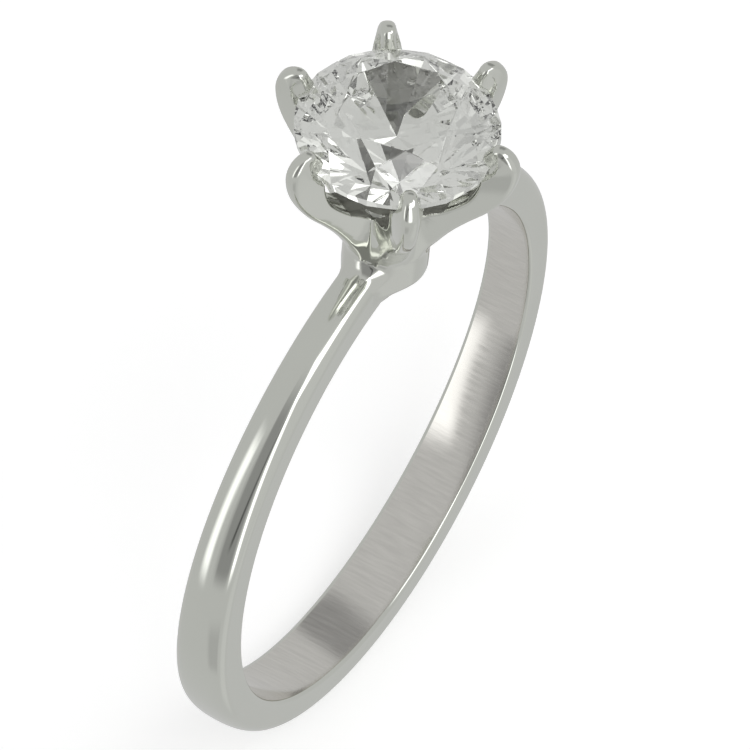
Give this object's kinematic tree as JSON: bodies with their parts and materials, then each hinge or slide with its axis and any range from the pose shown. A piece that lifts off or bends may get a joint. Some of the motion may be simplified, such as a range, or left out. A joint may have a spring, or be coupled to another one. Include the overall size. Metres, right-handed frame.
{
  "type": "engagement ring",
  "caption": "Solitaire ring: a tapering half-round band, a round head base with bent claws, and a round brilliant stone set high above the band.",
  "frame": {"origin": "centre of the finger bore, midway across the band's width", "axes": "+Y along the finger, +Z from the finger's centre to the stone, +X across the hand"},
  "size_m": [0.019, 0.0076, 0.025],
  "materials": {
    "polished_metal": "polished white precious metal, with a fine satin on the inside of the band",
    "solder": "polished hard solder, blended into the metal beside it",
    "stone": "clear colourless facetted stone"
  },
  "bodies": {
    "root": {"shank": "polished_metal", "head_base": "polished_metal", "solder_fillets": "solder", "claw_1": "polished_metal", "claw_2": "polished_metal", "claw_3": "polished_metal", "claw_4": "polished_metal", "claw_5": "polished_metal", "claw_6": "polished_metal", "centre_stone": "stone"}
  },
  "joints": []
}
